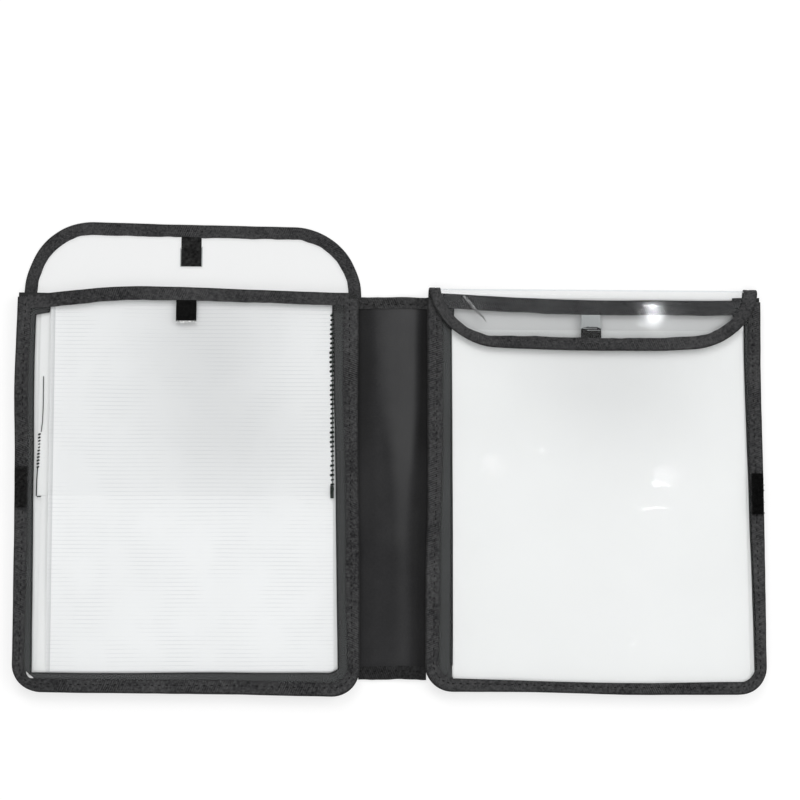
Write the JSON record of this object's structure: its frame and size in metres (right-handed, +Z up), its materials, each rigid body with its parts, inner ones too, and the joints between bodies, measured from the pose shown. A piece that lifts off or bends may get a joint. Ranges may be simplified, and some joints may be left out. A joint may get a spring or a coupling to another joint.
{
  "type": "two pocket folder",
  "caption": "Document folder that opens flat: clear pockets bound in black tape, joined by a cloth spine, each with a hook-and-loop flap over its mouth.",
  "frame": {"origin": "on the table plane, at the spine's crease across and half-way up the open folder with its raised left flap", "axes": "+X from the left cover to the right one, +Y up the covers towards the flaps, +Z up from the table"},
  "size_m": [0.5454, 0.348, 0.0133],
  "materials": {
    "film": "clear gloss",
    "tape": "ribbed woven tape",
    "cloth": "plain woven",
    "hook": "hook pile",
    "loop": "loop pile",
    "paper": "matte"
  },
  "bodies": {
    "left_cover": {"left_back_film": "film", "left_front_film": "film", "left_gusset": "cloth", "left_back_binding": "tape", "left_front_binding": "tape", "left_mouth_binding": "tape", "left_mouth_tab": "loop", "left_edge_patch": "hook", "left_sheets": "paper"},
    "left_flap": {"left_flap_film": "film", "left_flap_binding": "tape", "left_flap_tab": "hook", "left_flap_fold": "film", "left_flap_fold_binding": "tape"},
    "left_spine": {"left_spine_cloth": "cloth", "left_spine_top_hem": "tape", "left_spine_bottom_hem": "tape"},
    "right_cover": {"right_back_film": "film", "right_front_film": "film", "right_gusset": "cloth", "right_back_binding": "tape", "right_front_binding": "tape", "right_mouth_binding": "tape", "right_mouth_tab": "loop", "right_edge_patch": "loop", "right_sheets": "paper"},
    "right_flap": {"right_flap_film": "film", "right_flap_binding": "tape", "right_flap_tab": "hook", "right_flap_fold": "film", "right_flap_fold_binding": "tape"},
    "right_spine": {"right_spine_cloth": "cloth", "right_spine_top_hem": "tape", "right_spine_bottom_hem": "tape"}
  },
  "joints": [
    {"name": "right_seam", "type": "hinge", "parent": "right_cover", "child": "right_spine", "pos_m": [0.0245, 0, 0.0021], "axis": [0, 1, 0], "range_deg": [0, 27.73]},
    {"name": "spine_fold", "type": "hinge", "parent": "right_spine", "child": "left_spine", "pos_m": [0, 0, 0.0021], "axis": [0, 1, 0], "range_deg": [0, 124.54]},
    {"name": "left_seam", "type": "hinge", "parent": "left_spine", "child": "left_cover", "pos_m": [-0.0245, 0, 0.0021], "axis": [0, 1, 0], "range_deg": [0, 27.73]},
    {"name": "left_flap_fold", "type": "hinge", "parent": "left_cover", "child": "left_flap", "pos_m": [-0.14865, 0.12811, 0.0066], "axis": [1, 0, 0], "range_deg": [0, 180], "deforming": ["left_flap_fold", "left_flap_fold_binding"]},
    {"name": "right_flap_fold", "type": "hinge", "parent": "right_cover", "child": "right_flap", "pos_m": [0.14865, 0.12811, 0.0066], "axis": [-1, 0, 0], "range_deg": [0, 180], "deforming": ["right_flap_fold", "right_flap_fold_binding"]}
  ]
}
